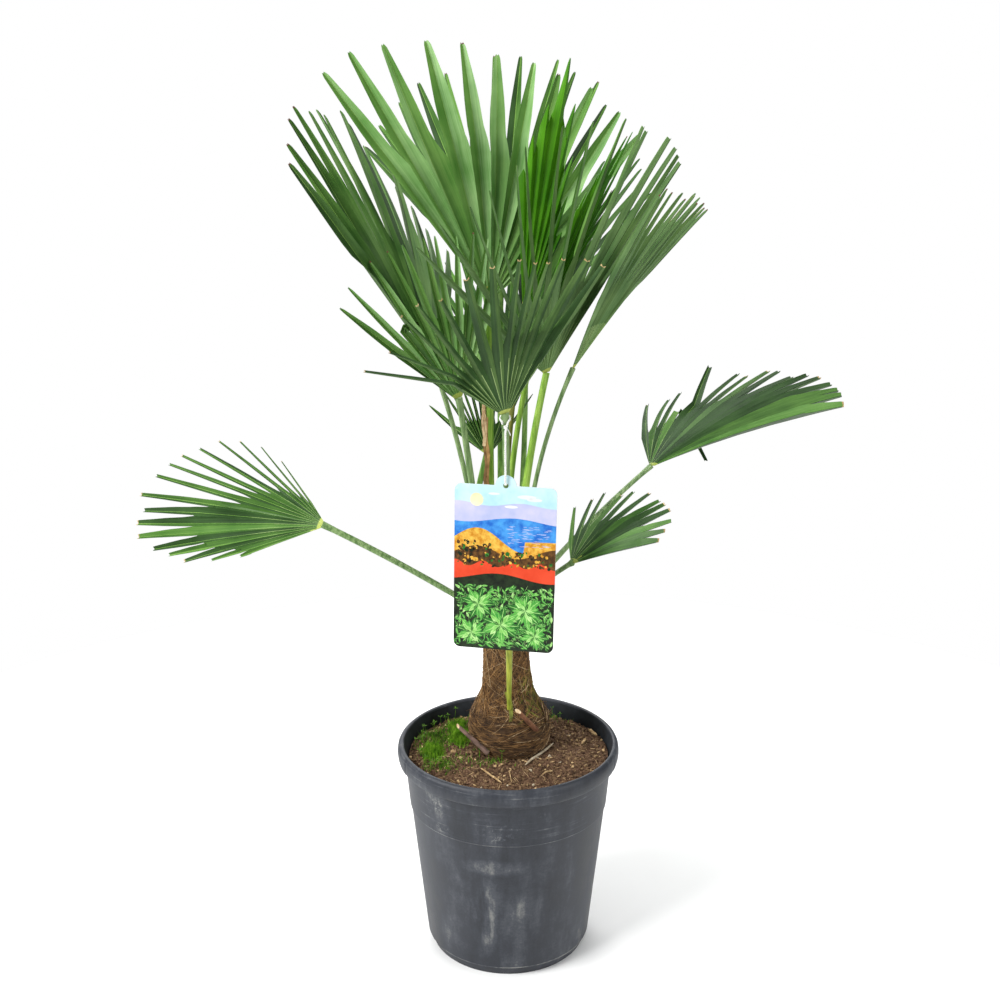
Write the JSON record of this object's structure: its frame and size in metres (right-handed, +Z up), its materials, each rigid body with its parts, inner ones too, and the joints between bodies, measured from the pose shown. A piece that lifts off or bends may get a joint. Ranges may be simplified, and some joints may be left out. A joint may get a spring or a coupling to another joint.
{
  "type": "windmill palm in a pot",
  "caption": "young fan-leaved palm with a fibrous trunk, growing in a round nursery pot, with a hanging picture card",
  "frame": {"origin": "centre of the pot's flat underside", "axes": "+Z up, -Y towards the viewer of the picture, +X to that viewer's right"},
  "size_m": [0.7823, 0.5321, 1.0147],
  "materials": {
    "pot_plastic": "satin charcoal plastic, lightly dusty",
    "potting_soil": "moist crumbly potting soil",
    "trunk_fibre": "matted brown leaf-base fibre",
    "stalk_green": "smooth green leaf stalk",
    "leaf_green": "stiff waxy leaf",
    "young_leaf_green": "fresh young leaf",
    "dry_stalk": "dry cut leaf stalk",
    "printed_card": "thin printed plastic card",
    "white_string": "thin white string"
  },
  "bodies": {
    "root": {"blade_back": "leaf_green", "blade_back_right": "leaf_green", "blade_back_small": "leaf_green", "blade_front": "leaf_green", "blade_front_left": "leaf_green", "blade_left_low": "leaf_green", "blade_left_tall": "leaf_green", "blade_right_fan": "leaf_green", "blade_right_low": "leaf_green", "blade_right_small": "leaf_green", "blade_right_tall": "leaf_green", "blade_tall": "leaf_green", "blade_tall_back": "leaf_green", "blade_young_centre": "young_leaf_green", "blade_young_right": "young_leaf_green", "card_string": "white_string", "hang_card": "printed_card", "petiole_back": "stalk_green", "petiole_back_right": "stalk_green", "petiole_back_small": "stalk_green", "petiole_front": "stalk_green", "petiole_front_left": "stalk_green", "petiole_left_low": "stalk_green", "petiole_left_tall": "stalk_green", "petiole_right_fan": "stalk_green", "petiole_right_low": "stalk_green", "petiole_right_small": "stalk_green", "petiole_right_tall": "stalk_green", "petiole_tall": "stalk_green", "petiole_tall_back": "stalk_green", "petiole_young_centre": "stalk_green", "petiole_young_right": "stalk_green", "pot": "pot_plastic", "soil": "potting_soil", "stub_left": "dry_stalk", "stub_right": "dry_stalk", "trunk": "trunk_fibre"}
  },
  "joints": []
}
